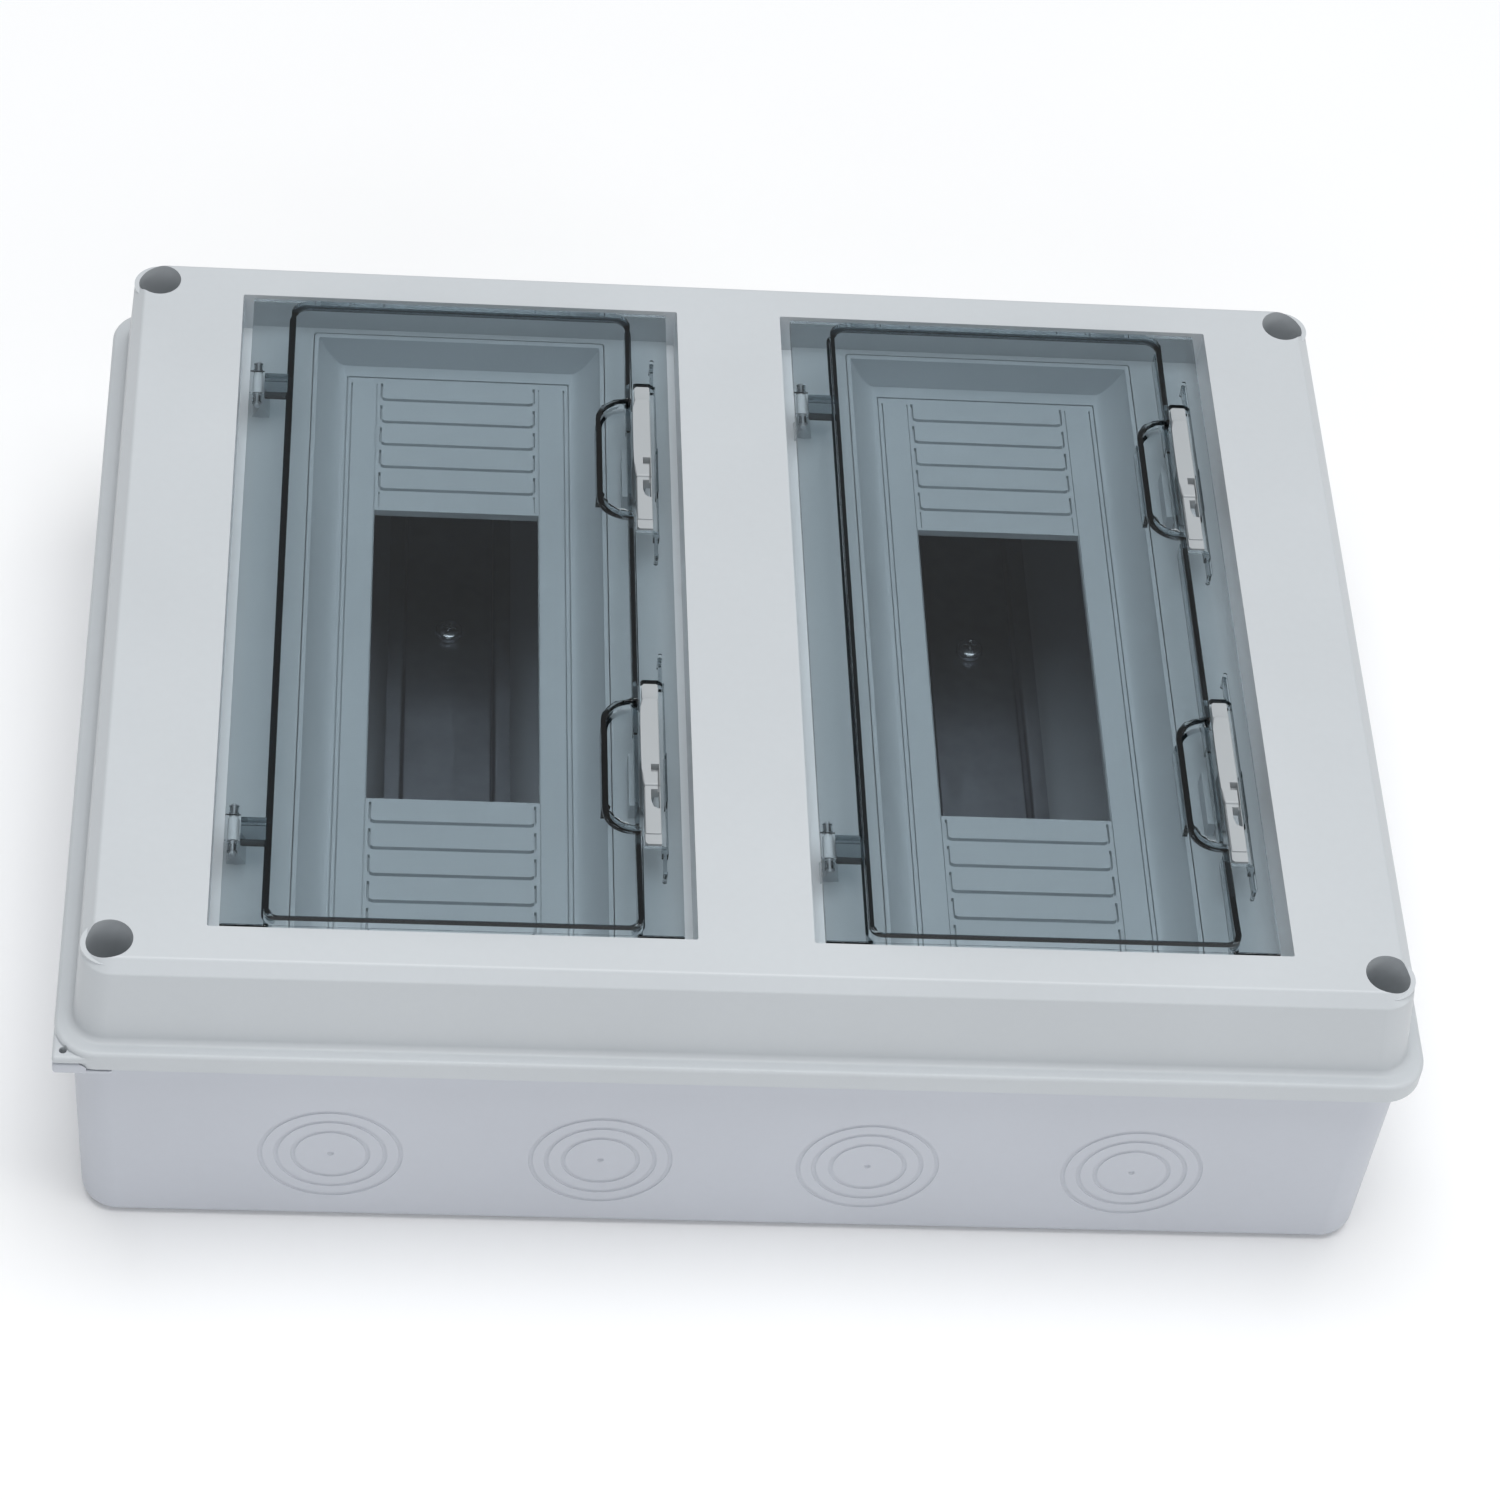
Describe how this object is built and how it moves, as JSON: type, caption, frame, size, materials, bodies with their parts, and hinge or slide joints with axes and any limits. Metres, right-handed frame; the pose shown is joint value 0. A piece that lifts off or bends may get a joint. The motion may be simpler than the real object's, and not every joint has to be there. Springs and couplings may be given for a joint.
{
  "type": "distribution enclosure",
  "caption": "Surface-mounted weatherproof distribution box for modular breakers on DIN rails, with a screwed cover and smoked hinged doors.",
  "frame": {"origin": "centre of the back face, on the wall or table the box is fixed to", "axes": "+X along the long side, from the doors' hinge side towards their latch side; +Y across the short side; +Z out of the cover's face, away from the wall. On a wall, the rails run level, so +Y or -Y is to the side and X is vertical."},
  "size_m": [0.35, 0.27, 0.105],
  "materials": {
    "cover_abs": "satin moulded light grey",
    "base_abs": "fine moulded light grey",
    "mask_abs": "fine moulded light grey",
    "smoked_pc": "polished smoked transparent plastic",
    "latch_plastic": "satin light grey",
    "zinc": "bright zinc-plated",
    "screw_steel": "bright zinc-plated",
    "gasket": "matt",
    "brass": "machined",
    "neutral_blue": "satin",
    "earth_green": "satin",
    "pin_steel": "ground",
    "cover_screw_plastic": "satin grey"
  },
  "bodies": {
    "base": {"base_shell": "base_abs", "din_rail_left": "zinc", "rail_screw_left_front": "screw_steel", "rail_screw_left_rear": "screw_steel", "din_rail_right": "zinc", "rail_screw_right_front": "screw_steel", "rail_screw_right_rear": "screw_steel", "neutral_bar_holder": "neutral_blue", "neutral_bar": "brass", "neutral_holder_screw_1": "screw_steel", "neutral_holder_screw_2": "screw_steel", "neutral_terminal_screw_1": "screw_steel", "neutral_terminal_screw_2": "screw_steel", "neutral_terminal_screw_3": "screw_steel", "neutral_terminal_screw_4": "screw_steel", "neutral_terminal_screw_5": "screw_steel", "neutral_terminal_screw_6": "screw_steel", "earth_bar_holder": "earth_green", "earth_bar": "brass", "earth_holder_screw_1": "screw_steel", "earth_holder_screw_2": "screw_steel", "earth_terminal_screw_1": "screw_steel", "earth_terminal_screw_2": "screw_steel", "earth_terminal_screw_3": "screw_steel", "earth_terminal_screw_4": "screw_steel", "earth_terminal_screw_5": "screw_steel", "earth_terminal_screw_6": "screw_steel"},
    "cover": {"cover_shell": "cover_abs", "sealing_gasket": "gasket", "module_mask_left": "mask_abs", "hinge_pin_left_front": "pin_steel", "hinge_pin_left_rear": "pin_steel", "module_mask_right": "mask_abs", "hinge_pin_right_front": "pin_steel", "hinge_pin_right_rear": "pin_steel"},
    "door_left": {"door_left": "smoked_pc"},
    "door_right": {"door_right": "smoked_pc"},
    "latch_left_front": {"latch_left_front": "latch_plastic"},
    "latch_left_rear": {"latch_left_rear": "latch_plastic"},
    "latch_right_front": {"latch_right_front": "latch_plastic"},
    "latch_right_rear": {"latch_right_rear": "latch_plastic"},
    "cover_screw_left_front": {"cover_screw_left_front": "cover_screw_plastic"},
    "cover_screw_left_rear": {"cover_screw_left_rear": "cover_screw_plastic"},
    "cover_screw_right_front": {"cover_screw_right_front": "cover_screw_plastic"},
    "cover_screw_right_rear": {"cover_screw_right_rear": "cover_screw_plastic"}
  },
  "joints": [
    {"name": "cover_lift", "type": "slide", "parent": "base", "child": "cover", "axis": [0, 0, 1], "range_m": [0, 0.08]},
    {"name": "door_left_hinge", "type": "hinge", "parent": "cover", "child": "door_left", "pos_m": [-0.1321, 0, 0.0982], "axis": [0, -1, 0], "range_deg": [0, 105]},
    {"name": "door_right_hinge", "type": "hinge", "parent": "cover", "child": "door_right", "pos_m": [0.0199, 0, 0.0982], "axis": [0, -1, 0], "range_deg": [0, 105]},
    {"name": "latch_left_front_press", "type": "slide", "parent": "door_left", "child": "latch_left_front", "axis": [1, 0, 0], "range_m": [0, 0.0012], "stiffness_N_per_m": 500},
    {"name": "latch_left_rear_press", "type": "slide", "parent": "door_left", "child": "latch_left_rear", "axis": [1, 0, 0], "range_m": [0, 0.0012], "stiffness_N_per_m": 500},
    {"name": "latch_right_front_press", "type": "slide", "parent": "door_right", "child": "latch_right_front", "axis": [1, 0, 0], "range_m": [0, 0.0012], "stiffness_N_per_m": 500},
    {"name": "latch_right_rear_press", "type": "slide", "parent": "door_right", "child": "latch_right_rear", "axis": [1, 0, 0], "range_m": [0, 0.0012], "stiffness_N_per_m": 500},
    {"name": "cover_screw_left_front_turn", "type": "hinge", "parent": "cover", "child": "cover_screw_left_front", "pos_m": [-0.161, -0.1193, 0.0623], "axis": [0, 0, 1], "continuous": true},
    {"name": "cover_screw_left_rear_turn", "type": "hinge", "parent": "cover", "child": "cover_screw_left_rear", "pos_m": [-0.161, 0.1193, 0.0623], "axis": [0, 0, 1], "continuous": true},
    {"name": "cover_screw_right_front_turn", "type": "hinge", "parent": "cover", "child": "cover_screw_right_front", "pos_m": [0.161, -0.1193, 0.0623], "axis": [0, 0, 1], "continuous": true},
    {"name": "cover_screw_right_rear_turn", "type": "hinge", "parent": "cover", "child": "cover_screw_right_rear", "pos_m": [0.161, 0.1193, 0.0623], "axis": [0, 0, 1], "continuous": true}
  ]
}
